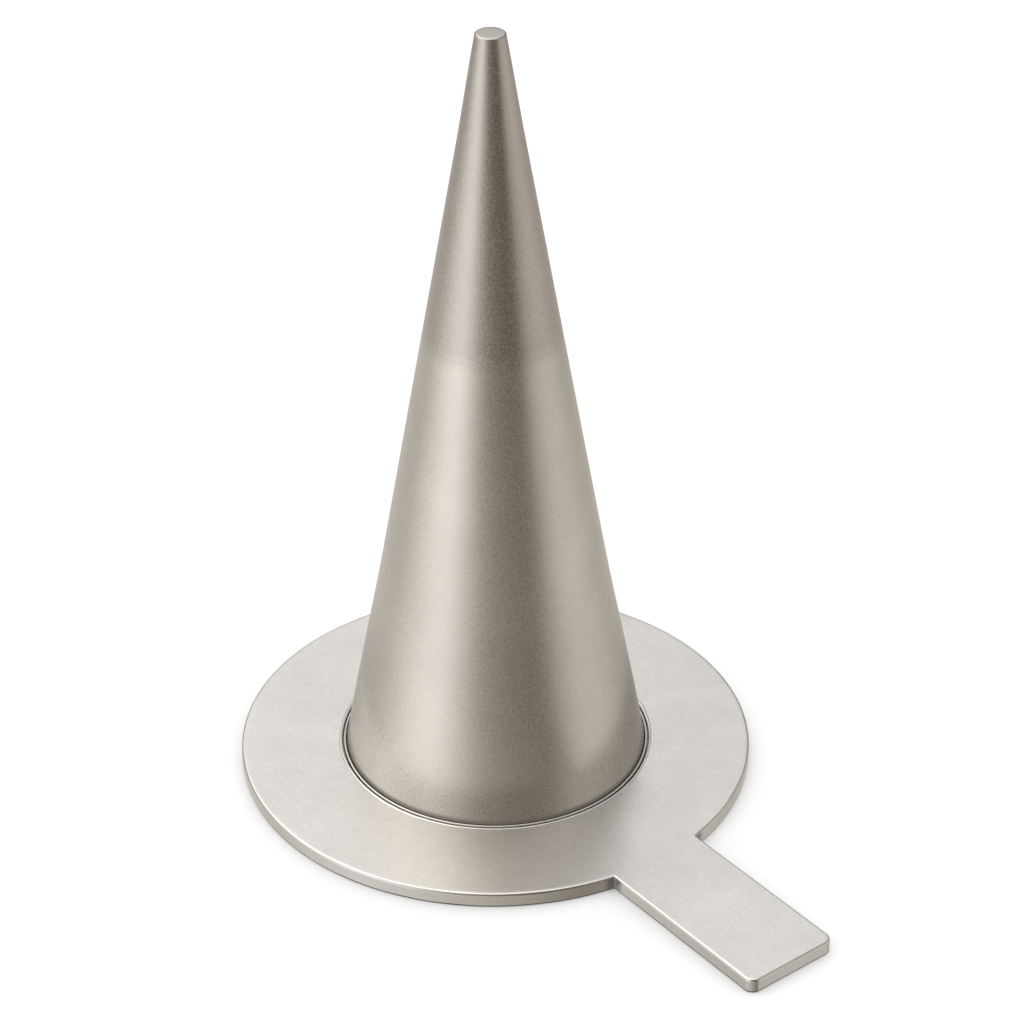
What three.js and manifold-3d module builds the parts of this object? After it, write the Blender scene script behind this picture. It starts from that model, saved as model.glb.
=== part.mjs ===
// Conical temporary strainer: a flat ring with a paddle handle, and a closed cone standing in its bore.
// Millimetres, +Z up. Every piece is drawn around the cone's axis, with the ring's underside at z = 0.
// The whole object is then moved along X, so that the origin is the centre of its footprint.

import * as THREE from 'three';
import { mergeVertices } from 'three/addons/utils/BufferGeometryUtils.js';
import Module from 'manifold-3d';

// Ring plate: sits inside the bolt circle of an NPS 4 Class 150 flange.
const RING_RADIUS = 85.75;
const RING_THICKNESS = 5.2;
const BORE_RADIUS = 51.75;
const EDGE_ROUND = 0.8;

// Paddle handle, cut from the same plate, along +X.
const HANDLE_WIDTH = 34.2;
const HANDLE_REACH = 149.7;
const HANDLE_CORNER = 3.3;
const HANDLE_ROOT_FILLET = 1.5;

// Cone, measured on the outside of its skin. Its side is straight for most of its height, and stands
// a little wider than that straight line at the foot and at the nose.
const STRAIGHT_RADIUS_AT_PLATE = 49.25;
const APEX_HEIGHT = 287.3;
const NOSE_HEIGHT = 262.2;
const FOOT_HEIGHT = 1.9;
const SKIN_JOINT_HEIGHT = 160.7;
const SKIN_THICKNESS = 0.5;
const FOOT_SPREAD = { amount: 1.05, from: 82, to: 12, steps: 4 };
const NOSE_SPREAD = { amount: 0.35, from: 226, to: 262, steps: 2 };

// Perforated support sheet inside the skin.
const SUPPORT_THICKNESS = 1.5;
const HOLE_DIAMETER = 12;
const HOLE_PITCH = 19;
const FIRST_HOLE_ROW = 17;
const LAST_HOLE_ROW = 203;

// Nose: a turned cap with a spigot, and the ground weld below its rim.
const CAP_RIM_HEIGHT = 3;
const CAP_SHOULDER = 0.7;
const SPIGOT_RADIUS = 2.4;
const SPIGOT_LENGTH = 8;
const NOSE_WELD_HEIGHT = 1.2;
const NOSE_WELD_DEPTH = 1.6;

// Foot: a thin collar on the cone, and the weld that holds the cone in the bore.
const COLLAR_OUTER_RADIUS = 51.4;
const COLLAR_BOTTOM = 4.2;
const COLLAR_TOP = 5.8;
const COLLAR_CHAMFER = 0.35;
const BASE_WELD_BOTTOM = 0.5;

// Clearances between pieces, and the fineness of round shapes.
const GAP = 0.3;
const BEAD_GAP = 0.1;
const RING_SEGMENTS = 96;
const CONE_SEGMENTS = 72;
const SUPPORT_SEGMENTS = 30;
const NOSE_SEGMENTS = 36;
const CORNER_SEGMENTS = 4;
const SEAM_SEGMENTS = 12;

const TAPER = STRAIGHT_RADIUS_AT_PLATE / (APEX_HEIGHT - RING_THICKNESS);
const HALF_ANGLE = Math.atan(TAPER);
const CAP_BASE = NOSE_HEIGHT - CAP_RIM_HEIGHT;
const SKIN_TOP = CAP_BASE - NOSE_WELD_HEIGHT - 2 * GAP;
const SUPPORT_DEPTH = SKIN_THICKNESS + GAP;
const SUPPORT_SEAM_DEPTH = SUPPORT_DEPTH + SUPPORT_THICKNESS + GAP;

// Seam beads, which run up the cone on the side away from the handle.
const LOWER_SEAM = { bottom: 6.5, top: 159.7, angle: Math.PI, width: 3, crown: 0.6 };
const UPPER_SEAM = { bottom: 161.7, top: 255.2, angle: Math.PI, width: 2.4, crown: 0.5 };
const SUPPORT_SEAM = { bottom: 5, top: 210, angle: (5 / 6) * Math.PI, width: 4, crown: 1 };

const FINISHES = {
  plate: { color: 0xd8d5cf, roughness: 0.42, metalness: 1 },
  skinLower: { color: 0xb5ada4, roughness: 0.34, metalness: 1 },
  skinUpper: { color: 0xaba399, roughness: 0.38, metalness: 1 },
  support: { color: 0xa8a39c, roughness: 0.5, metalness: 1 },
  cap: { color: 0xc6c1ba, roughness: 0.4, metalness: 1 },
  collar: { color: 0xcbc7c1, roughness: 0.3, metalness: 1 },
  weld: { color: 0x9c9690, roughness: 0.45, metalness: 1 },
};

const wasm = await Module();
wasm.setup();

// How far the side stands outside its straight line at height z.
function spreadAt(z, { amount, from, to }) {
  const t = THREE.MathUtils.clamp((z - from) / (to - from), 0, 1);
  return amount * t * t * (3 - 2 * t);
}

// Radius at height z of the cone that lies `depth` inside the skin's outer face.
function coneRadius(z, depth = 0) {
  const outer = (APEX_HEIGHT - z) * TAPER + spreadAt(z, FOOT_SPREAD) + spreadAt(z, NOSE_SPREAD);
  return outer - depth / Math.cos(HALF_ANGLE);
}

// The heights from bottom to top at which the side bends.
function coneHeights(bottom, top) {
  const bends = [];
  for (const { from, to, steps } of [FOOT_SPREAD, NOSE_SPREAD]) {
    for (let i = 0; i <= steps; i += 1) {
      bends.push(from + ((to - from) * i) / steps);
    }
  }
  const between = bends.filter((z) => z > bottom + GAP && z < top - GAP);
  return [bottom, ...between.sort((a, b) => a - b), top];
}

function arc(centreX, centreY, radius, from, to, segments) {
  const points = [];
  for (let i = 0; i <= segments; i += 1) {
    const angle = from + ((to - from) * i) / segments;
    points.push(new THREE.Vector2(centreX + radius * Math.cos(angle), centreY + radius * Math.sin(angle)));
  }
  return points;
}

// A turned shape from (radius, height) pairs, with its axis on Z.
function turned(profile, segments = CONE_SEGMENTS) {
  const points = profile.map(([radius, height]) => new THREE.Vector2(radius, height));
  return new THREE.LatheGeometry(points, segments).rotateX(Math.PI / 2);
}

// A conical shell between two heights and two depths below the skin's outer face.
function coneShell(bottom, top, outerDepth, innerDepth, segments) {
  const heights = coneHeights(bottom, top);
  const outside = heights.map((z) => [coneRadius(z, outerDepth), z]);
  const inside = heights.map((z) => [coneRadius(z, innerDepth), z]).reverse();
  return turned([...outside, ...inside, outside[0]], segments);
}

function toSolid(geometry) {
  const bare = geometry.clone();
  bare.deleteAttribute('normal');
  bare.deleteAttribute('uv');
  const merged = mergeVertices(bare);
  const vertProperties = merged.attributes.position.array;
  const triVerts = new Uint32Array(merged.index.array);
  return new wasm.Manifold(new wasm.Mesh({ numProp: 3, vertProperties, triVerts }));
}

function toGeometry(solid) {
  const mesh = solid.getMesh();
  const geometry = new THREE.BufferGeometry();
  geometry.setAttribute('position', new THREE.BufferAttribute(mesh.vertProperties, 3));
  geometry.setIndex(new THREE.BufferAttribute(mesh.triVerts, 1));
  geometry.computeVertexNormals();
  return geometry;
}

// Moves a shape drawn around the Z axis, with Z pointing outwards, to a place on the cone's side.
function placeOnCone(geometry, angle, z, depth) {
  geometry.rotateY(Math.PI / 2 - HALF_ANGLE);
  geometry.translate(coneRadius(z, depth), 0, z);
  return geometry.rotateZ(angle);
}

function ringPlate() {
  const half = HANDLE_WIDTH / 2;
  const fillet = HANDLE_ROOT_FILLET;
  const filletY = half + fillet;
  const filletX = Math.sqrt((RING_RADIUS + fillet) ** 2 - filletY ** 2);
  const rootAngle = Math.atan2(filletY, filletX);
  const endX = HANDLE_REACH - HANDLE_CORNER;
  const endY = half - HANDLE_CORNER;
  const outline = [
    ...arc(0, 0, RING_RADIUS, rootAngle, 2 * Math.PI - rootAngle, RING_SEGMENTS),
    ...arc(filletX, -filletY, fillet, Math.PI - rootAngle, Math.PI / 2, CORNER_SEGMENTS).slice(1),
    ...arc(endX, -endY, HANDLE_CORNER, -Math.PI / 2, 0, CORNER_SEGMENTS),
    ...arc(endX, endY, HANDLE_CORNER, 0, Math.PI / 2, CORNER_SEGMENTS),
    ...arc(filletX, filletY, fillet, 1.5 * Math.PI, Math.PI + rootAngle, CORNER_SEGMENTS).slice(0, -1),
  ];
  const plate = new THREE.Shape(outline);
  const bore = arc(0, 0, BORE_RADIUS, 0, 2 * Math.PI, CONE_SEGMENTS).slice(0, -1);
  plate.holes.push(new THREE.Path(bore));
  const geometry = new THREE.ExtrudeGeometry(plate, {
    depth: RING_THICKNESS - 2 * EDGE_ROUND,
    bevelEnabled: true,
    bevelThickness: EDGE_ROUND,
    bevelSize: EDGE_ROUND,
    bevelOffset: -EDGE_ROUND,
    bevelSegments: 1,
  });
  return geometry.translate(0, 0, EDGE_ROUND);
}

function skinLower() {
  return coneShell(FOOT_HEIGHT, SKIN_JOINT_HEIGHT - GAP / 2, 0, SKIN_THICKNESS);
}

function skinUpper() {
  return coneShell(SKIN_JOINT_HEIGHT + GAP / 2, SKIN_TOP, 0, SKIN_THICKNESS);
}

// Hexagonal holes in level rows. Every row has plain metal at the seam.
function supportCone() {
  const middleDepth = SUPPORT_DEPTH + SUPPORT_THICKNESS / 2;
  const innerDepth = SUPPORT_DEPTH + SUPPORT_THICKNESS;
  const sheet = coneShell(FOOT_HEIGHT, SKIN_TOP, SUPPORT_DEPTH, innerDepth, SUPPORT_SEGMENTS);
  const rowSpacing = HOLE_PITCH * Math.sin(Math.PI / 3) * Math.cos(HALF_ANGLE);
  let solid = toSolid(sheet);
  for (let z = FIRST_HOLE_ROW; z < LAST_HOLE_ROW; z += rowSpacing) {
    const count = Math.floor((2 * Math.PI * coneRadius(z, middleDepth)) / HOLE_PITCH);
    for (let i = 0; i < count; i += 1) {
      const angle = SUPPORT_SEAM.angle + ((i + 0.5) * 2 * Math.PI) / count;
      const radius = HOLE_DIAMETER / 2;
      const punch = new THREE.CylinderGeometry(radius, radius, 4 * SUPPORT_THICKNESS, 6);
      punch.rotateX(Math.PI / 2);
      solid = solid.subtract(toSolid(placeOnCone(punch, angle, z, middleDepth)));
    }
  }
  return toGeometry(solid);
}

// A low rounded bead that follows the slope, on a face `depth` below the skin's outer face.
// Its crown points outwards (side 1), or inwards to the axis (side -1).
function seamBead(seam, depth, side = 1) {
  const half = seam.width / 2;
  const radius = (half ** 2 + seam.crown ** 2) / (2 * seam.crown);
  const spread = Math.asin(half / radius);
  const middle = side === 1 ? 0 : Math.PI;
  const centre = side * (seam.crown - radius);
  const section = arc(centre, 0, radius, middle - spread, middle + spread, CORNER_SEGMENTS);
  const bead = new THREE.ExtrudeGeometry(new THREE.Shape(section), {
    depth: seam.top - seam.bottom,
    steps: SEAM_SEGMENTS,
    bevelEnabled: false,
  });
  bead.translate(0, 0, seam.bottom);
  const position = bead.attributes.position;
  for (let i = 0; i < position.count; i += 1) {
    position.setX(i, position.getX(i) + coneRadius(position.getZ(i), depth));
  }
  return bead.rotateZ(seam.angle);
}

function footCollar() {
  const start = [COLLAR_OUTER_RADIUS, COLLAR_BOTTOM];
  return turned([
    start,
    [COLLAR_OUTER_RADIUS, COLLAR_TOP - COLLAR_CHAMFER],
    [COLLAR_OUTER_RADIUS - COLLAR_CHAMFER, COLLAR_TOP],
    [coneRadius(COLLAR_TOP, -GAP), COLLAR_TOP],
    [coneRadius(COLLAR_BOTTOM, -GAP), COLLAR_BOTTOM],
    start,
  ]);
}

// Fills the corner between the end of the cone and the bore, with a hollow face towards the underside.
function baseWeld() {
  const top = FOOT_HEIGHT - GAP;
  const outer = BORE_RADIUS - GAP;
  const inner = coneRadius(FOOT_HEIGHT, SUPPORT_DEPTH + SUPPORT_THICKNESS);
  const rise = top - BASE_WELD_BOTTOM;
  const run = outer - inner;
  const face = [];
  for (let i = 0; i <= CORNER_SEGMENTS; i += 1) {
    const angle = (i / CORNER_SEGMENTS) * (Math.PI / 2);
    face.push([inner + run * Math.sin(angle), top - rise * (1 - Math.cos(angle))]);
  }
  return turned([...face, [outer, top], [inner, top]]);
}

function noseWeld() {
  return coneShell(SKIN_TOP + GAP, CAP_BASE - GAP, 0, NOSE_WELD_DEPTH, NOSE_SEGMENTS);
}

function noseCap() {
  const faceRadius = coneRadius(NOSE_HEIGHT);
  const shoulder = arc(
    faceRadius - CAP_SHOULDER,
    NOSE_HEIGHT - CAP_SHOULDER,
    CAP_SHOULDER,
    HALF_ANGLE,
    Math.PI / 2,
    CORNER_SEGMENTS,
  );
  return turned([
    [0, CAP_BASE - SPIGOT_LENGTH],
    [SPIGOT_RADIUS, CAP_BASE - SPIGOT_LENGTH],
    [SPIGOT_RADIUS, CAP_BASE],
    [coneRadius(CAP_BASE), CAP_BASE],
    ...shoulder.map((point) => [point.x, point.y]),
    [0, NOSE_HEIGHT],
  ], NOSE_SEGMENTS);
}

const strainer = new THREE.Group();
strainer.position.x = -(HANDLE_REACH - RING_RADIUS) / 2;

function addPiece(name, geometry, finish) {
  const piece = new THREE.Mesh(geometry, new THREE.MeshStandardMaterial(finish));
  piece.name = name;
  strainer.add(piece);
}

addPiece('ring_plate', ringPlate(), FINISHES.plate);
addPiece('skin_lower', skinLower(), FINISHES.skinLower);
addPiece('skin_upper', skinUpper(), FINISHES.skinUpper);
addPiece('skin_seam_lower', seamBead(LOWER_SEAM, -BEAD_GAP), FINISHES.weld);
addPiece('skin_seam_upper', seamBead(UPPER_SEAM, -BEAD_GAP), FINISHES.weld);
addPiece('support_cone', supportCone(), FINISHES.support);
addPiece('support_seam_weld', seamBead(SUPPORT_SEAM, SUPPORT_SEAM_DEPTH, -1), FINISHES.weld);
addPiece('foot_collar', footCollar(), FINISHES.collar);
addPiece('base_weld', baseWeld(), FINISHES.weld);
addPiece('nose_weld', noseWeld(), FINISHES.skinUpper);
addPiece('nose_cap', noseCap(), FINISHES.cap);

export default strainer;
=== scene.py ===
"""Looks of the conical temporary strainer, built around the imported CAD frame. Metres, +Z up."""

import math

import bmesh
import bpy
from mathutils import Matrix, Vector, noise


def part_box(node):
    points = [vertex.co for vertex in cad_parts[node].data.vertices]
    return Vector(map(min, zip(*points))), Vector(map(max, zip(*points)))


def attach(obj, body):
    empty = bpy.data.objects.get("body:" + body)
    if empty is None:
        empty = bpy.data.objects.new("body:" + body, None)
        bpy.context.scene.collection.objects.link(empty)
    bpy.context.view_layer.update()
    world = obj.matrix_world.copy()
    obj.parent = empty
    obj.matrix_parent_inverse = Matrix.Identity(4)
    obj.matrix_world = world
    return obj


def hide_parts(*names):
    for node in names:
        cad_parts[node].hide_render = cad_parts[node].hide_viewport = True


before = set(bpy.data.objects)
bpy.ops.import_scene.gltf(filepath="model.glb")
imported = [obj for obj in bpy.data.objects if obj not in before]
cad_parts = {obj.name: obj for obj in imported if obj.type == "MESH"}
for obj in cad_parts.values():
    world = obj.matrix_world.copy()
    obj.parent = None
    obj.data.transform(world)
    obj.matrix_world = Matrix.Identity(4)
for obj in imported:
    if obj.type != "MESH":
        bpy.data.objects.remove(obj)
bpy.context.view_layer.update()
MM = 0.001
RIGHT_ANGLE = math.pi / 2


# ---------------------------------------------------------------- sizes read from the frame

def node_points(name):
    return [v.co.copy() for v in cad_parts[name].data.vertices]


def axis_distance(point):
    return (point - AXIS).xy.length


skin_low, skin_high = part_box("skin_lower")
joint_low, joint_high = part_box("skin_upper")
plate_low, plate_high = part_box("ring_plate")
collar_low, collar_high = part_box("foot_collar")

AXIS = Vector(((skin_low.x + skin_high.x) / 2, 0.0, 0.0))
RING_RADIUS = AXIS.x - plate_low.x
PLATE_TOP = plate_high.z
BORE_RADIUS = min(axis_distance(p) for p in node_points("ring_plate"))
HANDLE_END = plate_high.x - AXIS.x
PAST_RING = RING_RADIUS + 10 * MM
HANDLE_HALF = max(p.y for p in node_points("ring_plate") if p.x - AXIS.x > PAST_RING)
FOOT = skin_low.z
JOINT = (skin_high.z + joint_low.z) / 2
JOINT_RADIUS = (joint_high.x - joint_low.x) / 2
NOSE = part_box("nose_cap")[1].z
COLLAR_BOTTOM = collar_low.z
COLLAR_TOP = collar_high.z
COLLAR_RADIUS = (collar_high.y - collar_low.y) / 2

# The cone's side is straight between its two spreads. A spread holds its extra radius, the height where it
# starts and the height where it is full.
FOOT_SPREAD = (1.05 * MM, 82.0 * MM, 12.0 * MM)
NOSE_SPREAD = (0.35 * MM, 226.0 * MM, 262.0 * MM)
STRAIGHT_START = FOOT_SPREAD[1]
STRAIGHT_RADIUS = max(axis_distance(p) for p in node_points("skin_lower") if p.z > STRAIGHT_START - 1 * MM)
TAPER = (STRAIGHT_RADIUS - JOINT_RADIUS) / (joint_low.z - STRAIGHT_START)
HALF_ANGLE = math.atan(TAPER)

# ---------------------------------------------------------------- sizes of the fine shape

# Ring and handle. The softened edges change in size by these parts of it, at so many noise cells per metre.
EDGE_ROUND = 0.85 * MM
UNDER_ROUND = 0.65 * MM
LIP_ROUND = 0.60 * MM
LIP_RISE = 0.28 * MM
HANDLE_CORNER = 3.3 * MM
ROOT_FILLET = 0.6 * MM
SLOW_WEAR, SLOW_WEAR_CELLS = 0.22, 90
FINE_WEAR, FINE_WEAR_CELLS = 0.10, 420
BORE_WEAR_RADIUS = 60 * MM
RING_STEPS = 300
FILLET_STEPS = 10
HANDLE_STEPS = 24
CORNER_STEPS = 12
ROUND_STEPS = 6
LIP_STEPS = 12
FLAT_PARTS = 6
FLAT_HOLD = 0.03

# Skin, collar and support sheet.
SKIN_THICKNESS = 0.5 * MM
SKIN_GAP = 0.01 * MM
SKIN_SEGMENTS = 288
LOWER_ROWS = 160
UPPER_ROWS = 96
INNER_ROW_STEP = 8
SLOW_ROLL = 0.035 * MM
FINE_ROLL = 0.012 * MM
COLLAR_CLEARANCE = 0.30 * MM
COLLAR_RISE = 0.35 * MM
SHEET_THICKNESS = 1.5 * MM
SHEET_DEPTH = 0.8 * MM
SHEET_INSIDE = SHEET_DEPTH + SHEET_THICKNESS
SHEET_ROWS = 24
SHEET_SEGMENTS = 144
HOLE_RADIUS = 6.0 * MM
HOLE_PITCH = 19.0 * MM
HOLE_SIDES = 28
HOLE_TURN = 0.37
FIRST_HOLE_ROW = 17.0 * MM
LAST_HOLE_ROW = 203.0 * MM

# Nose. The cap's face is crowned: (part of its radius, rise).
CAP_RIM = 3.0 * MM
CAP_ROUND = 0.7 * MM
CAP_SIDE_STEPS = 4
CAP_ROUND_STEPS = 10
CAP_CROWN = ((0.5, 0.010 * MM), (0.0, 0.015 * MM))
SPIGOT_RADIUS = 2.4 * MM
SPIGOT_LENGTH = 8.0 * MM
NOSE_SEGMENTS = 128
NOSE_WELD_HEIGHT = 1.8 * MM
NOSE_WELD_DEPTH = 1.6 * MM
CAP_BASE = NOSE - CAP_RIM
SKIN_TOP = CAP_BASE - NOSE_WELD_HEIGHT

# Seam beads: width and crown of each, and what they share.
SEAM_SIDE = math.pi
SUPPORT_SEAM_SIDE = math.pi * 5 / 6
LOWER_BEAD = (3.0 * MM, 0.55 * MM)
UPPER_BEAD = (2.4 * MM, 0.45 * MM)
SUPPORT_BEAD = (4.0 * MM, 0.9 * MM)
LOWER_BEAD_START = 6.5 * MM
UPPER_BEAD_END = 255.0 * MM
SUPPORT_BEAD_SPAN = (5.0 * MM, 210.0 * MM)
BEAD_JOINT_GAP = 1.0 * MM
BEAD_STEPS = 10
BEAD_ROW = 0.35 * MM
BEAD_END = 1.2 * MM
BEAD_TIP = 0.05
BEAD_RIPPLE = 0.10
BEAD_RIPPLE_PITCH = 1.1 * MM
BEAD_WIDTH_SWING = 0.10
BEAD_CROWN_SWING = 0.15
BEAD_DRIFT = 0.12 * MM
BEAD_DRIFT_CELLS = 60
BEAD_LIFT = 0.03 * MM
BEAD_ROOT = 0.1 * MM

# Base weld.
BASE_WELD_REACH = 0.28 * MM
BASE_WELD_GAP = 0.02 * MM
BASE_WELD_SEGMENTS = 360
BASE_WELD_STEPS = 10
BASE_RIPPLE = 0.10 * MM
BASE_RIPPLES = 62
BASE_RIPPLE_DRIFT = 0.9
BASE_DRIFT_CELLS = 4

# ---------------------------------------------------------------- finishes

EDGE_ROUGHNESS = 0.16
PLATE_DARK = (0.72, 0.70, 0.665)
PLATE_LIGHT = (0.81, 0.79, 0.755)
PLATE_GRAIN = (0.55, 0.535, 0.50)
PLATE_SIDE = (0.74, 0.695, 0.63)
# Painted shade in the corners where the handle meets the ring: its colour, roughness and reach.
ROOT_PAINTED_SHADE = (0.30, 0.285, 0.265)
ROOT_ROUGHNESS = 0.42
ROOT_REACH = (4.5 * MM, 1.5 * MM)
SCRATCH_ANGLE = 0.62
SCRATCH_CELLS = (140, 3600, 300)

UPPER_COLOUR = (0.66, 0.61, 0.56)
LOWER_COLOUR = (0.775, 0.73, 0.67)
JOINT_COLOUR = tuple((a + b) / 2 for a, b in zip(UPPER_COLOUR, LOWER_COLOUR))
JOINT_BLEND = 4.0 * MM
UPPER_GRAIN = 1.4
LOWER_GRAIN = 1.0
SKIN_ROUGHNESS = 0.25
SKIN_GRAIN = (0.10, 0.09, 0.08)
SPECK_SHADE = 0.45
STREAK_CELLS = (110.0, 4200.0)
# Painted shade in the gap at the collar: its colour, its roughness and the heights over which it fades in.
FOOT_PAINTED_SHADE = (0.20, 0.18, 0.16)
FOOT_ROUGHNESS = 0.5
FOOT_REACH = (COLLAR_TOP + 1.7 * MM, COLLAR_TOP + 0.2 * MM)

# Painted shade: low on the cone the skin's reflection is tinted darker, towards the bottom. The heights
# between which this fades, and how much of the reflection is left at each.
LOW_SHADE_HEIGHTS = (20 * MM, 75 * MM)
LOW_SHADE_TINT = (0.66, 1.0)

COLLAR_COLOUR = (0.72, 0.69, 0.65)
CAP_COLOUR = (0.69, 0.66, 0.62)
# Painted shade on the cap's rounded rim, where it doesn't face up.
CAP_RIM_PAINTED_SHADE = (0.50, 0.46, 0.42)
TOOL_RING_CELLS = 5200.0
TOOL_SIDE_CELLS = 2600.0

WELD_GREY = (0.40, 0.375, 0.35)
WELD_STRAW = (0.50, 0.455, 0.40)
SHEET_DARK = (0.42, 0.405, 0.385)
SHEET_LIGHT = (0.53, 0.51, 0.485)

BLACK = (0.0, 0.0, 0.0)
WHITE = (1.0, 1.0, 1.0)

# ---------------------------------------------------------------- studio

VIEW_AZIMUTH = math.radians(52.09)
VIEW_ELEVATION = math.radians(32.37)
VIEW_ROLL = math.radians(-0.225)
VIEW_DISTANCE = 12.65 * RING_RADIUS
VIEW_RIGHT = 0.0684 * RING_RADIUS
VIEW_UP = 0.8760 * RING_RADIUS
LENS_MM = 112.5
SENSOR_MM = 36.0
CLIP_START = 0.01

FLOOR_HALF = 3.0
FLOOR_DROP = 0.02 * MM
FLOOR_WHITE = 0.92

# Light that falls on the floor and on anything matt.
FLOOR_LIGHT = 1.22

# In front of the object the dark part of the studio reaches higher by this much.
FRONT_SHADE = 2.2

# Brightness of the studio around the object, by degrees to the right of the camera: at eye level...
STUDIO_BANDS = (
    (-180, 0.20), (-150, 0.45), (-105, 0.50), (-72, 1.15), (-50, 1.30), (-36, 1.00), (-16, 0.36), (4, 0.22),
    (22, 0.16), (34, 0.17), (44, 0.22), (56, 0.53), (76, 0.65), (105, 0.70), (150, 0.29), (180, 0.20),
)
# ...and lower down.
LOW_BANDS = (
    (-180, 0.66), (-140, 0.70), (-110, 0.66), (-78, 0.95), (-44, 0.95), (-10, 0.66), (20, 0.48), (48, 0.22),
    (66, 0.70), (84, 0.87), (125, 0.50), (180, 0.66),
)

# The colour ramps hold brightness as a part of this.
BAND_PEAK = 1.5

# Heights (sine of the angle above the horizon) between which one part of the studio gives way to the next.
DOME_BLEND = (0.24, 0.59)
LOW_BLEND = (-0.15, -0.52)
UNDER_BLEND = (-0.60, -0.76)

# The ring at eye level fades to this part of itself between these heights.
SIDE_FADE = (0.15, 0.65)
SIDE_TOP = 0.65

# The dome's brightness, the heights between which it rises, and how much brighter it is on the left.
DOME_LIGHT = (1.03, 1.38)
DOME_RISE = (0.66, 0.97)
DOME_SLANT = 0.9
UNDER_LIGHT = 0.08

# How much green and blue a dark part of the studio loses, which makes it warmer.
GREEN_LOSS = 0.12
BLUE_LOSS = 0.30


# ---------------------------------------------------------------- shape of the cone

def spread_at(z, amount, start, full):
    """How far the cone's side stands outside its straight line at a height."""
    t = min(1.0, max(0.0, (z - start) / (full - start)))
    return amount * t * t * (3 - 2 * t)


def cone_radius(z, depth=0.0):
    """Radius of the cone at a height, `depth` inside the skin's outer face."""
    straight = JOINT_RADIUS - (z - joint_low.z) * TAPER
    return straight + spread_at(z, *FOOT_SPREAD) + spread_at(z, *NOSE_SPREAD) - depth / math.cos(HALF_ANGLE)


def around(radius, angle, z):
    """The point at a distance from the cone's axis, in a direction and at a height."""
    return AXIS + Vector((radius * math.cos(angle), radius * math.sin(angle), z))


def on_cone(angle, z, depth):
    """Matrix from (across, up the slope, outwards) to a place on the cone."""
    flat = math.cos(HALF_ANGLE)
    across = Vector((-math.sin(angle), math.cos(angle), 0))
    out = Vector((math.cos(angle) * flat, math.sin(angle) * flat, math.sin(HALF_ANGLE)))
    place = Matrix((across, out.cross(across), out)).transposed().to_4x4()
    place.translation = around(cone_radius(z, depth), angle, z)
    return place


# ---------------------------------------------------------------- mesh helpers

def make_mesh(name, verts, faces):
    mesh = bpy.data.meshes.new(name)
    mesh.from_pydata([tuple(v) for v in verts], [], faces)
    return mesh


def link(name, data):
    """Makes an object and links it to the scene."""
    made = bpy.data.objects.new(name, data)
    bpy.context.scene.collection.objects.link(made)
    return made


def new_piece(name, node, verts, faces, sharp_degrees=40):
    """Makes a mesh object in the frame, standing for a CAD node."""
    mesh = make_mesh(name, verts, faces)
    mesh.validate()
    bm = bmesh.new()
    bm.from_mesh(mesh)
    bmesh.ops.recalc_face_normals(bm, faces=bm.faces)
    bm.to_mesh(mesh)
    bm.free()
    piece = link(name, mesh)
    mesh.shade_smooth()
    mesh.set_sharp_from_angle(angle=math.radians(sharp_degrees))
    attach(piece, "root")
    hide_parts(node)
    return piece


def add_loop(verts, points):
    """Adds points to verts and returns their indices."""
    start = len(verts)
    verts.extend(points)
    return list(range(start, len(verts)))


def bridge(loops, closed=True):
    """Faces between neighbouring loops of points; if closed, the last loop is joined to the first."""
    pairs = list(zip(loops, loops[1:]))
    if closed:
        pairs.append((loops[-1], loops[0]))
    faces = []
    for low, high in pairs:
        for i in range(len(low)):
            j = (i + 1) % len(low)
            corners = list(dict.fromkeys((low[i], low[j], high[j], high[i])))
            if len(corners) > 2:
                faces.append(corners)
    return faces


def turn(profile, segments, wobble=lambda angle, z: 0.0, closed=True):
    """Vertices and faces of a turned shape, from (radius, height) pairs; radius 0 makes one point."""
    angles = [2 * math.pi * i / segments for i in range(segments)]
    verts, rings = [], []
    for radius, z in profile:
        if radius == 0:
            rings.append(add_loop(verts, [around(0, 0, z)]) * segments)
        else:
            rings.append(add_loop(verts, [around(radius + wobble(a, z), a, z) for a in angles]))
    return verts, bridge(rings, closed)


def quarter(start, end, centre, steps=ROUND_STEPS):
    """Points of a rounded corner between two (radius, height) points, without the ends."""
    points = []
    for i in range(1, steps):
        angle = i / steps * RIGHT_ANGLE
        a, b = math.cos(angle), math.sin(angle)
        points.append(tuple(c + (s - c) * a + (e - c) * b for s, e, c in zip(start, end, centre)))
    return points


def levels(low, high, steps):
    """Evenly spaced heights from low to high."""
    return [low + (high - low) * k / steps for k in range(steps + 1)]


def smooth_noise(x, y, z, seed):
    return noise.noise(Vector((x, y, z)) + Vector((seed * 7.1, seed * 3.7, seed * 5.3)))


# ---------------------------------------------------------------- ring plate

def arc_points(centre, radius, start, end, steps):
    points = []
    for angle in levels(start, end, steps):
        points.append((centre[0] + radius * math.cos(angle), centre[1] + radius * math.sin(angle)))
    return points


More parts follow.
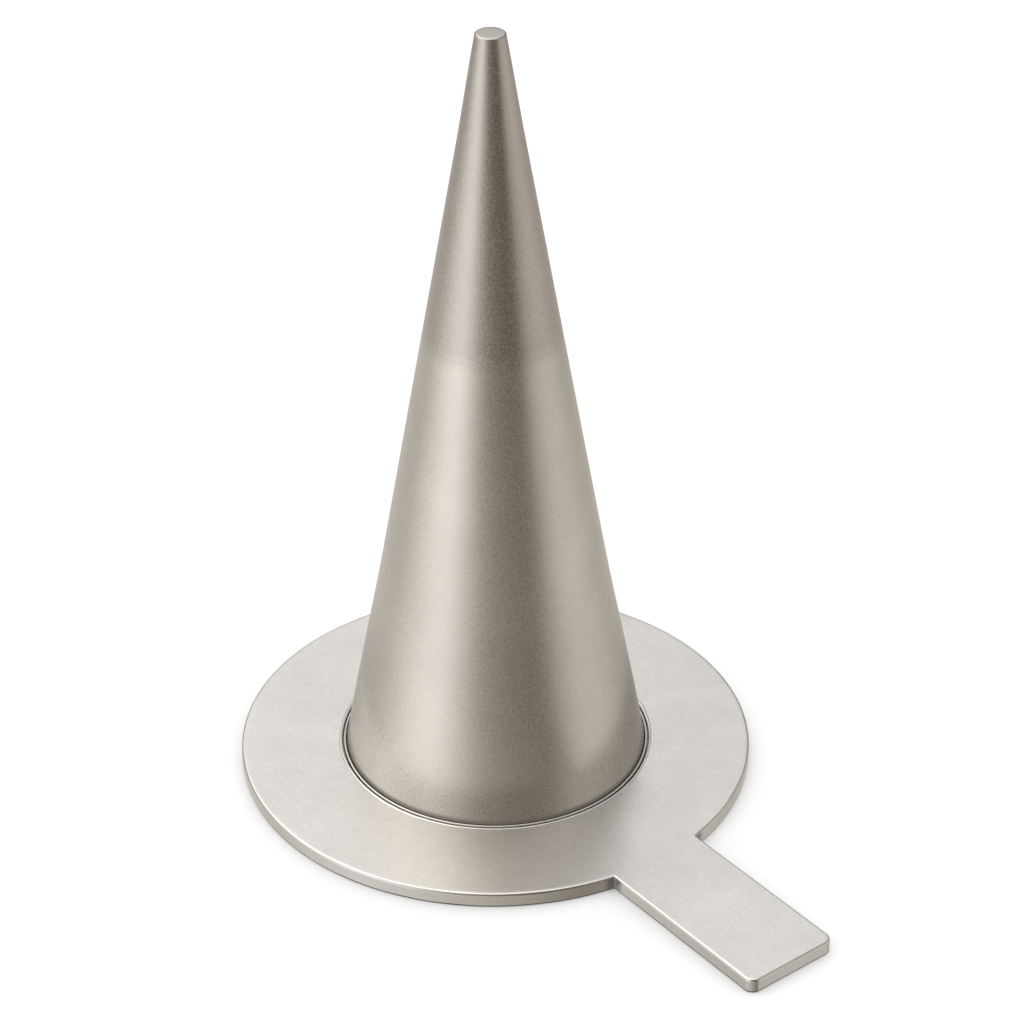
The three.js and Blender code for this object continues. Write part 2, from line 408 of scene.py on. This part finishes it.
def plate_outline(inset):
    """Outline of ring and handle around the axis, moved inwards; its number of points never changes."""
    half = HANDLE_HALF - inset
    fillet = ROOT_FILLET + inset
    ring = RING_RADIUS - inset
    corner = HANDLE_CORNER - inset
    fillet_y = half + fillet
    fillet_x = math.sqrt((ring + fillet) ** 2 - fillet_y ** 2)
    root = math.atan2(fillet_y, fillet_x)
    end_x = HANDLE_END - HANDLE_CORNER
    end_y = HANDLE_HALF - HANDLE_CORNER
    side = [(x, half) for x in levels(fillet_x, end_x, HANDLE_STEPS)[1:-1]]
    outline = arc_points((0, 0), ring, root, 2 * math.pi - root, RING_STEPS)
    outline += arc_points((fillet_x, -fillet_y), fillet, math.pi - root, RIGHT_ANGLE, FILLET_STEPS)[1:]
    outline += [(x, -y) for x, y in side]
    outline += arc_points((end_x, -end_y), corner, -RIGHT_ANGLE, 0, CORNER_STEPS)
    outline += [(HANDLE_END - inset, y) for y in levels(-end_y, end_y, CORNER_STEPS)[1:-1]]
    outline += arc_points((end_x, end_y), corner, 0, RIGHT_ANGLE, CORNER_STEPS)
    outline += reversed(side)
    outline += arc_points((fillet_x, fillet_y), fillet, 3 * RIGHT_ANGLE, math.pi + root, FILLET_STEPS)[:-1]
    return outline


def edge_wear(x, y):
    """How much the softened edge's size changes along the plate, as hand deburring leaves it."""
    slow = smooth_noise(x * SLOW_WEAR_CELLS, y * SLOW_WEAR_CELLS, 0.0, 1)
    fine = smooth_noise(x * FINE_WEAR_CELLS, y * FINE_WEAR_CELLS, 0.0, 2)
    return 1.0 + SLOW_WEAR * slow + FINE_WEAR * fine


def lip_section(angle, size):
    """Radius and height of a point on the bore's raised, rounded lip; angle 0 faces away from the axis."""
    reach = LIP_ROUND * size
    radius = BORE_RADIUS + reach * (1 + math.cos(angle))
    return radius, PLATE_TOP + LIP_RISE - reach * (1 - math.sin(angle))


def bore_foot_section(angle, size):
    """Radius and height of a point on the bore's lower edge; angle 0 is on the bore's wall."""
    reach = UNDER_ROUND * size
    return BORE_RADIUS + reach * (1 - math.cos(angle)), reach * (1 - math.sin(angle))


def ring_plate():
    """Ring and handle as one skin of loops: up the side, over the top, down the bore and back underneath."""
    base = plate_outline(0.0)
    inset = plate_outline(EDGE_ROUND)
    inward = [(ix - x, iy - y) for (x, y), (ix, iy) in zip(base, inset)]
    wear = [edge_wear(x, y) for x, y in base]
    bore_angles = [math.atan2(y, x) for x, y in base]
    bore_wear = []
    for angle in bore_angles:
        bore_wear.append(edge_wear(math.cos(angle) * BORE_WEAR_RADIUS, math.sin(angle) * BORE_WEAR_RADIUS))
    verts = []

    def outer_loop(step, size, z_edge, z_sign):
        """One loop of a rounded edge: step 0 is on the side wall, step 1 on the flat face."""
        angle = step * RIGHT_ANGLE
        points = []
        for (x, y), (in_x, in_y), local in zip(base, inward, wear):
            reach = size * local
            push = (1 - math.cos(angle)) * reach / EDGE_ROUND
            z = z_edge - z_sign * (1 - math.sin(angle)) * reach
            points.append(AXIS + Vector((x + in_x * push, y + in_y * push, z)))
        return add_loop(verts, points)

    def bore_loop(section, angle):
        """One loop around the bore, at one angle of its lip_section or bore_foot_section."""
        points = []
        for direction, local in zip(bore_angles, bore_wear):
            radius, z = section(angle, local)
            points.append(around(radius, direction, z))
        return add_loop(verts, points)

    def between(start, end, parts=1):
        """Loops that lie between two others; the outermost two keep the flat part flat up to its ends."""
        shares = [FLAT_HOLD] + [k / parts for k in range(1, parts)] + [1 - FLAT_HOLD]
        return [add_loop(verts, [verts[a].lerp(verts[b], t) for a, b in zip(start, end)]) for t in shares]

    steps = [k / ROUND_STEPS for k in range(ROUND_STEPS + 1)]
    lip_start = math.asin(1 - LIP_RISE / LIP_ROUND)
    under_edge = [outer_loop(step, UNDER_ROUND, 0.0, -1) for step in reversed(steps)]
    top_edge = [outer_loop(step, EDGE_ROUND, PLATE_TOP, 1) for step in steps]
    lip = [bore_loop(lip_section, angle) for angle in levels(lip_start, math.pi, LIP_STEPS)]
    bore_foot = [bore_loop(bore_foot_section, step * RIGHT_ANGLE) for step in steps]
    loops = under_edge + between(under_edge[-1], top_edge[0]) + top_edge
    loops += between(top_edge[-1], lip[0], FLAT_PARTS) + lip
    loops += between(lip[-1], bore_foot[0]) + bore_foot
    loops += between(bore_foot[-1], under_edge[0], FLAT_PARTS)
    return new_piece("ring_with_handle", "ring_plate", verts, bridge(loops), sharp_degrees=35)


# ---------------------------------------------------------------- skin and collar

def roll_wobble(angle, z):
    """The slight out-of-round that rolling leaves in a thin sheet; it fades towards both welded ends."""
    x, y = math.cos(angle), math.sin(angle)
    slow = smooth_noise(x * 1.3, y * 1.3, z * 9, 3)
    fine = smooth_noise(x * 3.5, y * 3.5, z * 28, 4)
    fade = min(1.0, (SKIN_TOP - z) / (30 * MM) + 0.1, (z - FOOT) / (15 * MM) + 0.1)
    return fade * (SLOW_ROLL * slow + FINE_ROLL * fine)


def skin(name, node, low, high, rows):
    """A thin conical sheet that follows the cone's side."""
    heights = levels(low, high, rows)
    profile = [(cone_radius(z), z) for z in heights]
    profile += [(cone_radius(z, SKIN_THICKNESS), z) for z in reversed(heights[::INNER_ROW_STEP])]
    verts, faces = turn(profile, SKIN_SEGMENTS, roll_wobble)
    return new_piece(name, node, verts, faces)


def foot_collar():
    """Thin ring around the cone's foot, with a rounded top that stands a little above the plate."""
    outer = COLLAR_RADIUS
    top = PLATE_TOP + COLLAR_RISE
    inner = cone_radius(top, -COLLAR_CLEARANCE)
    soft = (outer - inner) / 2
    crown = outer - soft
    shoulder = top - soft
    profile = [(outer, COLLAR_BOTTOM), (outer, shoulder)]
    profile += quarter((outer, shoulder), (crown, top), (crown, shoulder))
    profile += [(crown, top)]
    profile += quarter((crown, top), (inner, shoulder), (crown, shoulder))
    profile += [(inner, shoulder), (cone_radius(COLLAR_BOTTOM, -COLLAR_CLEARANCE), COLLAR_BOTTOM)]
    verts, faces = turn(profile, SKIN_SEGMENTS)
    return new_piece("foot_collar_ring", "foot_collar", verts, faces)


# ---------------------------------------------------------------- nose

def nose_cap():
    """The turned cap: a spigot inside the skin, and a rim that carries on the cone's side and is rounded."""
    face = cone_radius(NOSE)
    bottom = CAP_BASE - SPIGOT_LENGTH
    side = [(cone_radius(z), z) for z in levels(CAP_BASE, NOSE - CAP_ROUND, CAP_SIDE_STEPS)]
    rim = (face - CAP_ROUND, NOSE)
    profile = [(0, bottom), (SPIGOT_RADIUS, bottom), (SPIGOT_RADIUS, CAP_BASE)] + side
    profile += quarter(side[-1], rim, (face - CAP_ROUND, NOSE - CAP_ROUND), CAP_ROUND_STEPS)
    profile += [rim] + [(face * part, NOSE + rise) for part, rise in CAP_CROWN]
    verts, faces = turn(profile, NOSE_SEGMENTS, closed=False)
    return new_piece("nose_cap_turned", "nose_cap", verts, faces)


def nose_weld():
    """The ring weld between skin and cap, ground flush."""
    corners = ((SKIN_TOP, 0.0), (CAP_BASE, 0.0), (CAP_BASE, NOSE_WELD_DEPTH), (SKIN_TOP, NOSE_WELD_DEPTH))
    verts, faces = turn([(cone_radius(z, depth), z) for z, depth in corners], NOSE_SEGMENTS)
    return new_piece("nose_weld_ground", "nose_weld", verts, faces)


# ---------------------------------------------------------------- welds

def base_weld():
    """Fillet weld with the ripples of its passes, under the cone's foot."""
    low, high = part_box("base_weld")
    outer = (high.y - low.y) / 2 + BASE_WELD_REACH
    inner = cone_radius(FOOT, SHEET_INSIDE)
    top = FOOT - BASE_WELD_GAP
    verts, rings = [], []
    for i in range(BASE_WELD_SEGMENTS):
        angle = 2 * math.pi * i / BASE_WELD_SEGMENTS
        drift = smooth_noise(math.cos(angle) * BASE_DRIFT_CELLS, math.sin(angle) * BASE_DRIFT_CELLS, 0, 6)
        ripple = BASE_RIPPLE * abs(math.sin(angle * BASE_RIPPLES + BASE_RIPPLE_DRIFT * drift))
        points = []
        for k in range(BASE_WELD_STEPS + 1):
            t = k / BASE_WELD_STEPS * RIGHT_ANGLE
            radius = inner + (outer - inner) * math.sin(t)
            z = top - (top - low.z) * (1 - math.cos(t)) - ripple * math.sin(2 * t)
            points.append(around(radius, angle, z))
        points.append(around(outer, angle, top))
        rings.append(add_loop(verts, points))
    return new_piece("base_weld_bead", "base_weld", verts, bridge(rings), sharp_degrees=60)


def seam_bead(name, node, low, high, angle, size, depth=0.0, side=1):
    """A weld bead up the slope, with ripples and soft ends; side -1 puts it on the inside of a sheet."""
    width, crown = size
    length = high - low
    rows = int(length / BEAD_ROW)
    verts, rings = [], []
    for j in range(rows + 1):
        y = length * j / rows
        place = on_cone(angle, low + y, depth)
        end = min(1.0, y / BEAD_END, (length - y) / BEAD_END)
        end = math.sqrt(max(BEAD_TIP, end * (2 - end)))
        ripple = 1.0 + BEAD_RIPPLE * math.sin(y / BEAD_RIPPLE_PITCH * 2 * math.pi)
        drift = BEAD_DRIFT * smooth_noise(y * BEAD_DRIFT_CELLS, 0.3, 0.1, 8)
        row_width = width * (1 - BEAD_WIDTH_SWING + BEAD_WIDTH_SWING * ripple) * end
        row_crown = crown * (1 - BEAD_CROWN_SWING + BEAD_CROWN_SWING * ripple) * end
        points = []
        for k in range(BEAD_STEPS + 1):
            t = -1 + 2 * k / BEAD_STEPS
            x = t * row_width / 2 + drift
            lift = row_crown * (1 - t * t) + BEAD_LIFT
            sag = x * x / (2 * cone_radius(low + y))
            points.append(place @ Vector((x, 0, side * lift - sag)))
        points.append(place @ Vector((drift, 0, side * -BEAD_ROOT)))
        rings.append(add_loop(verts, points))
    faces = bridge(rings, closed=False) + [list(reversed(rings[0])), rings[-1]]
    return new_piece(name, node, verts, faces, sharp_degrees=60)


# ---------------------------------------------------------------- support sheet

def hole_punches():
    """Prisms that stand through the support sheet, in rows around it that start beside its seam."""
    middle = SHEET_DEPTH + SHEET_THICKNESS / 2
    reach = 2 * SHEET_THICKNESS
    row_step = HOLE_PITCH * math.sin(math.pi / 3) * math.cos(HALF_ANGLE)
    verts, faces = [], []
    z = FIRST_HOLE_ROW
    while z < LAST_HOLE_ROW:
        count = int(2 * math.pi * cone_radius(z, middle) / HOLE_PITCH)
        for i in range(count):
            place = on_cone(SUPPORT_SEAM_SIDE + (i + 0.5) * 2 * math.pi / count, z, middle)
            ends = []
            for level in (-reach, reach):
                points = []
                for k in range(HOLE_SIDES):
                    a = 2 * math.pi * (k + HOLE_TURN) / HOLE_SIDES
                    x, y = HOLE_RADIUS * math.cos(a), HOLE_RADIUS * math.sin(a)
                    points.append(place @ Vector((x, y, level)))
                ends.append(add_loop(verts, points))
            faces += [list(reversed(ends[0])), ends[1]] + bridge(ends, closed=False)
        z += row_step
    return link("punches", make_mesh("punches", verts, faces))


def support_cone():
    """The perforated sheet inside the skin: a turned shell with round holes punched through it."""
    heights = levels(FOOT, SKIN_TOP, SHEET_ROWS)
    profile = [(cone_radius(z, SHEET_DEPTH), z) for z in heights]
    profile += [(cone_radius(z, SHEET_INSIDE), z) for z in reversed(heights)]
    verts, faces = turn(profile, SHEET_SEGMENTS)
    sheet = new_piece("support_cone_sheet", "support_cone", verts, faces)
    punches = hole_punches()
    cut = sheet.modifiers.new("holes", "BOOLEAN")
    cut.operation = "DIFFERENCE"
    cut.solver = "EXACT"
    cut.object = punches
    graph = bpy.context.evaluated_depsgraph_get()
    punched = bpy.data.meshes.new_from_object(sheet.evaluated_get(graph))
    sheet.modifiers.clear()
    sheet.data = punched
    bpy.data.objects.remove(punches)
    return sheet


# ---------------------------------------------------------------- node graphs

class Graph:
    """Adds nodes to a tree; every call returns an output socket, and split returns three."""

    def __init__(self, tree):
        self.tree = tree

    def add(self, kind, inputs=(), output=0, **settings):
        node = self.tree.nodes.new(kind)
        for key, value in settings.items():
            setattr(node, key, value)
        for key, value in dict(inputs).items():
            if isinstance(value, bpy.types.NodeSocket):
                self.tree.links.new(value, node.inputs[key])
            else:
                node.inputs[key].default_value = value
        return node.outputs[output]

    def split(self, vector):
        node = self.tree.nodes.new("ShaderNodeSeparateXYZ")
        self.tree.links.new(vector, node.inputs[0])
        return node.outputs[0], node.outputs[1], node.outputs[2]

    def math(self, operation, a, b=0.0):
        return self.add("ShaderNodeMath", {0: a, 1: b}, operation=operation)

    def plus(self, a, b):
        return self.math("ADD", a, b)

    def times(self, a, b):
        return self.math("MULTIPLY", a, b)

    def minus(self, a, b):
        return self.math("SUBTRACT", a, b)

    def distance(self, x, y):
        return self.math("SQRT", self.plus(self.times(x, x), self.times(y, y)))

    def scale(self, colour, amount):
        return self.add("ShaderNodeVectorMath", {0: colour, 3: amount}, operation="SCALE")

    def spread(self, value, between, to=(0.0, 1.0), kind="LINEAR"):
        """Maps the range `between` to the range `to`, and holds beyond both ends."""
        ends = {"From Min": between[0], "From Max": between[1], "To Min": to[0], "To Max": to[1]}
        return self.add("ShaderNodeMapRange", {"Value": value, **ends}, interpolation_type=kind)

    def smooth(self, value, between, to=(0.0, 1.0)):
        return self.spread(value, between, to, "SMOOTHSTEP")

    def noise(self, vector, scale, detail, roughness, distortion=0.0):
        inputs = {"Vector": vector, "Scale": scale, "Detail": detail, "Roughness": roughness}
        inputs["Distortion"] = distortion
        return self.add("ShaderNodeTexNoise", inputs)

    def mix(self, amount, a, b):
        inputs = {"Factor": amount, 6: a, 7: b}
        return self.add("ShaderNodeMix", inputs, output=2, data_type="RGBA")

    def bump(self, height, distance, strength):
        return self.add("ShaderNodeBump", {"Height": height, "Distance": distance, "Strength": strength})


def rgba(colour):
    return (*colour, 1.0)


def grey(value):
    return (value, value, value, 1.0)


def shaded(colour, part):
    return tuple(c * part for c in colour)


def place_coords(graph):
    """Object coordinates measured from the cone's axis."""
    raw = graph.add("ShaderNodeTexCoord", output=3)
    return graph.add("ShaderNodeVectorMath", {0: raw, 1: AXIS}, operation="SUBTRACT")


def facing_up(graph):
    """How much the surface faces up: 1 on a flat top, 0 on an upright side."""
    return graph.split(graph.add("ShaderNodeNewGeometry", output=1))[2]


def round_coords(graph, place, along, up):
    """Coordinates that wrap around the axis, with so many cells per metre along the bore's edge and up."""
    x, y, z = graph.split(place)
    turned = graph.times(graph.math("ARCTAN2", y, x), BORE_RADIUS * along)
    return graph.add("ShaderNodeCombineXYZ", {0: turned, 1: graph.times(z, up)})


# ---------------------------------------------------------------- materials

def metal(name):
    material = bpy.data.materials.new(name)
    material.use_nodes = True
    shader = material.node_tree.nodes["Principled BSDF"]
    shader.inputs["Metallic"].default_value = 1.0
    return material, Graph(material.node_tree), shader


def finish_metal(graph, shader, colour, roughness, normal):
    links = graph.tree.links
    links.new(colour, shader.inputs["Base Color"])
    links.new(roughness, shader.inputs["Roughness"])
    links.new(normal, shader.inputs["Normal"])


def skin_metal(name, colour, joint_side, grain):
    """Satin sheet with fine grain, faint streaks around the cone and a few specks.

    Its tone runs softly into the next section's at the joint; in the gap at the collar it is painted darker
    and rougher, as shade.
    """
    material, graph, shader = metal(name)
    place = place_coords(graph)
    z = graph.split(place)[2]
    streaks = graph.noise(round_coords(graph, place, *STREAK_CELLS), 1.0, 3.0, 0.6)
    fine = graph.noise(place, 1350.0, 3.0, 0.65)
    clouds = graph.noise(place, 30.0, 3.0, 0.55, 0.4)
    specks = graph.smooth(graph.noise(place, 560.0, 1.0, 0.4), (0.79, 0.83))
    near_joint = graph.smooth(z, (JOINT + joint_side * JOINT_BLEND, JOINT))
    # Mask of the painted shade in the gap at the collar.
    collar_shade = graph.smooth(z, FOOT_REACH)

    tone = graph.mix(near_joint, rgba(colour), rgba(JOINT_COLOUR))
    tone = graph.mix(graph.spread(clouds, (0.35, 0.65), (0.06, 0.0)), tone, rgba(BLACK))
    tone = graph.mix(graph.spread(fine, (0.32, 0.68), (0.16 * grain, 0.0)), tone, rgba(SKIN_GRAIN))
    tone = graph.mix(graph.spread(streaks, (0.35, 0.7), (0.0, 0.06)), tone, rgba(SKIN_GRAIN))
    tone = graph.mix(graph.times(specks, 0.30), tone, rgba(shaded(colour, SPECK_SHADE)))
    # Painted shade in the gap at the collar.
    tone = graph.mix(graph.times(collar_shade, 0.7), tone, rgba(FOOT_PAINTED_SHADE))

    streak_rough = graph.spread(streaks, (0.3, 0.7), (SKIN_ROUGHNESS - 0.03, SKIN_ROUGHNESS + 0.03))
    grain_rough = graph.spread(fine, (0.32, 0.68), (-0.065 * grain, 0.065 * grain))
    rough = graph.smooth(collar_shade, (0.0, 1.0), (graph.plus(grain_rough, streak_rough), FOOT_ROUGHNESS))

    # Painted shade: the reflection is tinted darker low on the cone.
    tint = graph.mix(graph.smooth(z, LOW_SHADE_HEIGHTS, LOW_SHADE_TINT), rgba(BLACK), rgba(WHITE))
    graph.tree.links.new(tint, shader.inputs["Specular Tint"])
    relief = graph.plus(graph.times(streaks, 0.5), graph.times(fine, 0.45 * grain))
    finish_metal(graph, shader, tone, rough, graph.bump(relief, 0.02 * MM, 0.05))
    return material


def plate_metal():
    """Bright satin plate: soft cloudy mottling, fine random grain and faint long scratches.

    Its upright sides are smoother and warmer, and painted darker and rougher, as shade, in the corners where
    the handle meets the ring.
    """
    material, graph, shader = metal("plate_satin_steel")
    place = place_coords(graph)
    clouds = graph.noise(place, 26.0, 4.0, 0.55, 0.8)
    patches = graph.noise(place, 75.0, 3.0, 0.6, 0.3)
    mottle = graph.noise(place, 330.0, 2.0, 0.6)
    grain = graph.noise(place, 1100.0, 3.0, 0.65)
    stretch = {"Vector": place, "Rotation": (0, 0, SCRATCH_ANGLE), "Scale": SCRATCH_CELLS}
    scratches = graph.noise(graph.add("ShaderNodeMapping", stretch), 1.0, 2.0, 0.6)
    soft = graph.plus(graph.times(clouds, 0.5), graph.times(patches, 0.3))
    cloudy = graph.plus(soft, graph.times(mottle, 0.2))

    up = facing_up(graph)
    on_edge = graph.smooth(up, (0.992, 0.95))
    on_side = graph.smooth(graph.math("ABSOLUTE", up), (0.8, 0.3))
    x, y, _ = graph.split(place)
    off_x = graph.minus(x, math.sqrt(RING_RADIUS ** 2 - HANDLE_HALF ** 2))
    off_y = graph.minus(graph.math("ABSOLUTE", y), HANDLE_HALF)
    # Mask of the painted shade in the corners where the handle meets the ring, on the upright sides.
    root_shade = graph.times(graph.smooth(graph.distance(off_x, off_y), ROOT_REACH), on_side)

    tone = graph.mix(graph.spread(cloudy, (0.36, 0.64)), rgba(PLATE_DARK), rgba(PLATE_LIGHT))
    tone = graph.mix(graph.spread(grain, (0.35, 0.65), (0.0, 0.32)), tone, rgba(PLATE_GRAIN))
    tone = graph.mix(graph.times(on_side, 0.4), tone, rgba(PLATE_SIDE))
    # Painted shade in the handle's root corners.
    tone = graph.mix(graph.times(root_shade, 0.75), tone, rgba(ROOT_PAINTED_SHADE))

    cloud_rough = graph.spread(cloudy, (0.36, 0.64), (0.38, 0.33))
    scratch_rough = graph.spread(scratches, (0.3, 0.7), (-0.02, 0.02))
    rough = graph.smooth(on_edge, (0.0, 1.0), (graph.plus(cloud_rough, scratch_rough), EDGE_ROUGHNESS))
    rough = graph.smooth(root_shade, (0.0, 1.0), (rough, ROOT_ROUGHNESS))

    relief = graph.plus(graph.times(grain, 0.6), graph.times(scratches, 0.35))
    finish_metal(graph, shader, tone, rough, graph.bump(relief, 0.02 * MM, 0.07))
    return material


def turned_metal(name, colour, roughness, side_shade=None):
    """Turned steel: tool rings around the axis and, if a side shade is given, painted shade where it doesn't
    face up.
    """
    material, graph, shader = metal(name)
    place = place_coords(graph)
    x, y, z = graph.split(place)
    across = graph.times(graph.distance(x, y), TOOL_RING_CELLS)
    rings = graph.add("ShaderNodeCombineXYZ", {0: across, 1: graph.times(z, TOOL_SIDE_CELLS)})
    cut = graph.noise(rings, 1.0, 2.0, 0.6)
    fine = graph.noise(place, 3000.0, 2.0, 0.6)
    tone = graph.mix(graph.spread(cut, (0.35, 0.65)), rgba(shaded(colour, 0.93)), rgba(colour))
    # Painted shade where the surface doesn't face up.
    if side_shade:
        tone = graph.mix(graph.smooth(facing_up(graph), (0.995, 0.95)), tone, rgba(side_shade))
    rough = graph.spread(cut, (0.3, 0.7), (roughness - 0.04, roughness + 0.05))
    relief = graph.plus(cut, graph.times(fine, 0.4))
    finish_metal(graph, shader, tone, rough, graph.bump(relief, 0.015 * MM, 0.3))
    return material


def weld_metal():
    """Brushed weld bead: darker, with a straw heat tint that comes and goes."""
    material, graph, shader = metal("weld_brushed")
    place = place_coords(graph)
    heat = graph.noise(place, 120.0, 3.0, 0.6)
    fine = graph.noise(place, 2400.0, 3.0, 0.7)
    tone = graph.mix(graph.spread(heat, (0.35, 0.65)), rgba(WELD_GREY), rgba(WELD_STRAW))
    rough = graph.spread(fine, (0.3, 0.7), (0.30, 0.46))
    finish_metal(graph, shader, tone, rough, graph.bump(fine, 0.04 * MM, 0.5))
    return material


def sheet_metal():
    """Mill-finish sheet of the perforated support."""
    material, graph, shader = metal("support_mill_sheet")
    place = place_coords(graph)
    clouds = graph.noise(place, 45.0, 3.0, 0.6, 0.5)
    fine = graph.noise(place, 2200.0, 3.0, 0.6)
    tone = graph.mix(graph.spread(clouds, (0.35, 0.65)), rgba(SHEET_DARK), rgba(SHEET_LIGHT))
    rough = graph.spread(fine, (0.3, 0.7), (0.38, 0.50))
    finish_metal(graph, shader, tone, rough, graph.bump(fine, 0.03 * MM, 0.4))
    return material


# ---------------------------------------------------------------- studio

def light_ramp(graph, turned, bands):
    """Smooth brightness around the horizon, warmer where it is darker; turned runs from 0 to 1."""
    ramp = graph.tree.nodes.new("ShaderNodeValToRGB")
    graph.tree.links.new(turned, ramp.inputs[0])
    ramp.color_ramp.interpolation = "B_SPLINE"
    stops = ramp.color_ramp.elements
    while len(stops) > 1:
        stops.remove(stops[-1])
    for index, (degrees, value) in enumerate(bands):
        position = (degrees + 180) / 360
        stop = stops[0] if index == 0 else stops.new(position)
        stop.position = position
        warmth = max(0.0, 1.0 - value)
        part = value / BAND_PEAK
        stop.color = rgba((part, part * (1 - GREEN_LOSS * warmth), part * (1 - BLUE_LOSS * warmth)))
    return ramp.outputs[0]


def studio_world():
    """White to the camera, even light on matt surfaces, and a studio in the reflections.

    At eye level that studio has bright sides and a dark gap at the camera; a dome is above and dark below.
    """
    world = bpy.data.worlds.new("studio")
    bpy.context.scene.world = world
    world.use_nodes = True
    tree = world.node_tree
    tree.nodes.clear()
    graph = Graph(tree)
    direction = graph.add("ShaderNodeTexCoord", output=0)
    facing = {"Vector": direction, "Angle": RIGHT_ANGLE - VIEW_AZIMUTH}
    ahead, right, height = graph.split(graph.add("ShaderNodeVectorRotate", facing, rotation_type="Z_AXIS"))
    turned = graph.spread(graph.math("ARCTAN2", right, ahead), (-math.pi, math.pi))

    front = graph.math("POWER", graph.math("MAXIMUM", ahead, 0.0), 2.0)
    shaded_height = graph.minus(height, graph.times(front, FRONT_SHADE))
    slant = graph.minus(1.0, graph.times(right, DOME_SLANT))
    dome = graph.times(graph.spread(height, DOME_RISE, DOME_LIGHT), slant)
    fade = graph.smooth(height, SIDE_FADE, (BAND_PEAK, BAND_PEAK * SIDE_TOP))
    sides = graph.scale(light_ramp(graph, turned, STUDIO_BANDS), fade)
    low = graph.scale(light_ramp(graph, turned, LOW_BANDS), BAND_PEAK)
    studio = graph.mix(graph.smooth(shaded_height, DOME_BLEND), sides, dome)
    studio = graph.mix(graph.smooth(height, LOW_BLEND), studio, low)
    studio = graph.mix(graph.smooth(height, UNDER_BLEND), studio, grey(UNDER_LIGHT))

    rays = tree.nodes.new("ShaderNodeLightPath")
    lit = graph.mix(rays.outputs["Is Glossy Ray"], grey(FLOOR_LIGHT), studio)
    seen = graph.mix(rays.outputs["Is Camera Ray"], lit, rgba(WHITE))
    background = graph.add("ShaderNodeBackground", {"Color": seen, "Strength": 1.0})
    output = tree.nodes.new("ShaderNodeOutputWorld")
    tree.links.new(background, output.inputs[0])


def floor():
    """White floor that takes the object's shadow and stays out of its reflections."""
    half = FLOOR_HALF
    corners = [(-half, -half, 0), (half, -half, 0), (half, half, 0), (-half, half, 0)]
    mesh = make_mesh("studio_floor", corners, [(0, 1, 2, 3)])
    plane = link("studio_floor", mesh)
    plane.location.z = -FLOOR_DROP
    plane.visible_glossy = False
    material = bpy.data.materials.new("floor_white")
    material.use_nodes = True
    shader = material.node_tree.nodes["Principled BSDF"]
    shader.inputs["Base Color"].default_value = grey(FLOOR_WHITE)
    shader.inputs["Roughness"].default_value = 1.0
    shader.inputs["Specular IOR Level"].default_value = 0.0
    mesh.materials.append(material)


def camera():
    flat = Vector((math.sin(VIEW_AZIMUTH), -math.cos(VIEW_AZIMUTH), 0))
    back = flat * math.cos(VIEW_ELEVATION) + Vector((0, 0, math.sin(VIEW_ELEVATION)))
    right = Vector((math.cos(VIEW_AZIMUTH), math.sin(VIEW_AZIMUTH), 0))
    up = back.cross(right)
    rolled_right = right * math.cos(VIEW_ROLL) + up * math.sin(VIEW_ROLL)
    rolled_up = up * math.cos(VIEW_ROLL) - right * math.sin(VIEW_ROLL)
    target = AXIS + Vector((0, 0, PLATE_TOP))
    place = Matrix((rolled_right, rolled_up, back)).transposed().to_4x4()
    place.translation = target + back * VIEW_DISTANCE + right * VIEW_RIGHT + up * VIEW_UP
    data = bpy.data.cameras.new("camera")
    data.sensor_width = SENSOR_MM
    data.lens = LENS_MM
    data.clip_start = CLIP_START
    shot = link("camera", data)
    shot.matrix_world = place
    bpy.context.scene.camera = shot


# ---------------------------------------------------------------- build

def dress(piece, *materials):
    piece.data.materials.clear()
    for material in materials:
        piece.data.materials.append(material)


def main():
    weld = weld_metal()
    upper = skin_metal("skin_upper_satin", UPPER_COLOUR, 1, UPPER_GRAIN)
    lower = skin_metal("skin_lower_satin", LOWER_COLOUR, -1, LOWER_GRAIN)
    dress(ring_plate(), plate_metal())
    dress(skin("skin_lower_sheet", "skin_lower", FOOT, JOINT - SKIN_GAP, LOWER_ROWS), lower)
    dress(skin("skin_upper_sheet", "skin_upper", JOINT + SKIN_GAP, SKIN_TOP, UPPER_ROWS), upper)
    dress(foot_collar(), turned_metal("collar_turned", COLLAR_COLOUR, 0.24))
    dress(base_weld(), weld)

    cap = nose_cap()
    dress(cap, upper, turned_metal("cap_turned", CAP_COLOUR, 0.30, CAP_RIM_PAINTED_SHADE))
    for face in cap.data.polygons:
        if face.normal.z > 0.9:
            face.material_index = 1
    dress(nose_weld(), upper)

    lower_bead_end = JOINT - BEAD_JOINT_GAP
    upper_bead_start = JOINT + BEAD_JOINT_GAP
    dress(seam_bead("seam_lower_bead", "skin_seam_lower", LOWER_BEAD_START, lower_bead_end,
                    SEAM_SIDE, LOWER_BEAD), weld)
    dress(seam_bead("seam_upper_bead", "skin_seam_upper", upper_bead_start, UPPER_BEAD_END,
                    SEAM_SIDE, UPPER_BEAD), weld)
    dress(seam_bead("support_seam_bead", "support_seam_weld", *SUPPORT_BEAD_SPAN,
                    SUPPORT_SEAM_SIDE, SUPPORT_BEAD, SHEET_INSIDE, -1), weld)
    dress(support_cone(), sheet_metal())
    floor()
    studio_world()
    camera()
    bpy.context.scene.view_settings.view_transform = "Standard"


main()
